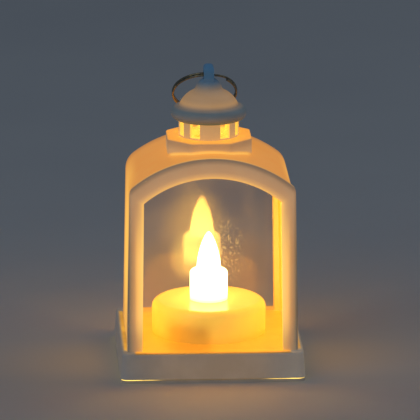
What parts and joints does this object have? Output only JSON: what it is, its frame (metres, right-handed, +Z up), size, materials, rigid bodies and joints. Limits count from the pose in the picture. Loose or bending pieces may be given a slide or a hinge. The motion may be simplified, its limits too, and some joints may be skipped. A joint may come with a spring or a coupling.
{
  "type": "candle lantern",
  "caption": "Small square battery candle lantern in translucent plastic with an arched clear window, vented collar, ogee cap and a hanging ring.",
  "frame": {"origin": "middle of the underside of the base", "axes": "+Z up, window faces -Y, +X to the right seen from the window"},
  "size_m": [0.071, 0.071, 0.1171],
  "materials": {
    "white_plastic": "satin moulded, translucent",
    "candle_plastic": "waxy, translucent",
    "flame_plastic": "frosted, lit from inside",
    "lamp_resin": "clear amber resin, lit",
    "holder_plastic": "plain",
    "cell_steel": "nickel plated",
    "contact_metal": "plated",
    "screw_steel": "zinc plated",
    "ring_steel": "antique plated wire",
    "switch_black": "plain",
    "red_lead": "insulated wire",
    "black_lead": "insulated wire",
    "clear_film": "clear film"
  },
  "bodies": {
    "lantern": {"plinth": "white_plastic", "base_plate": "white_plastic", "base_screws": "screw_steel", "candle_cup": "candle_plastic", "candle_stub": "candle_plastic", "flame_cover": "flame_plastic", "led_lamp": "lamp_resin", "lamp_holder": "holder_plastic", "button_cell_1": "cell_steel", "button_cell_2": "cell_steel", "button_cell_3": "cell_steel", "battery_tray": "holder_plastic", "positive_contact": "contact_metal", "negative_contact": "contact_metal", "contact_spring": "contact_metal", "battery_door": "white_plastic", "door_screw": "screw_steel", "switch_body": "switch_black", "positive_lead": "red_lead", "negative_lead": "black_lead", "switch_lead": "black_lead", "housing": "white_plastic", "front_bezel": "white_plastic", "front_pane": "clear_film", "rear_pane": "clear_film", "rear_retainer": "white_plastic", "vent_drum": "white_plastic", "cap": "white_plastic"},
    "ring": {"split_ring": "ring_steel"},
    "slider": {"switch_slider": "switch_black"}
  },
  "joints": [
    {"name": "ring_swing", "type": "hinge", "parent": "lantern", "child": "ring", "pos_m": [0, 0, 0.1129], "axis": [1, 0, 0], "range_deg": [0, 274]},
    {"name": "switch_slide", "type": "slide", "parent": "lantern", "child": "slider", "axis": [0, -1, 0], "range_m": [0, 0.0022]}
  ]
}
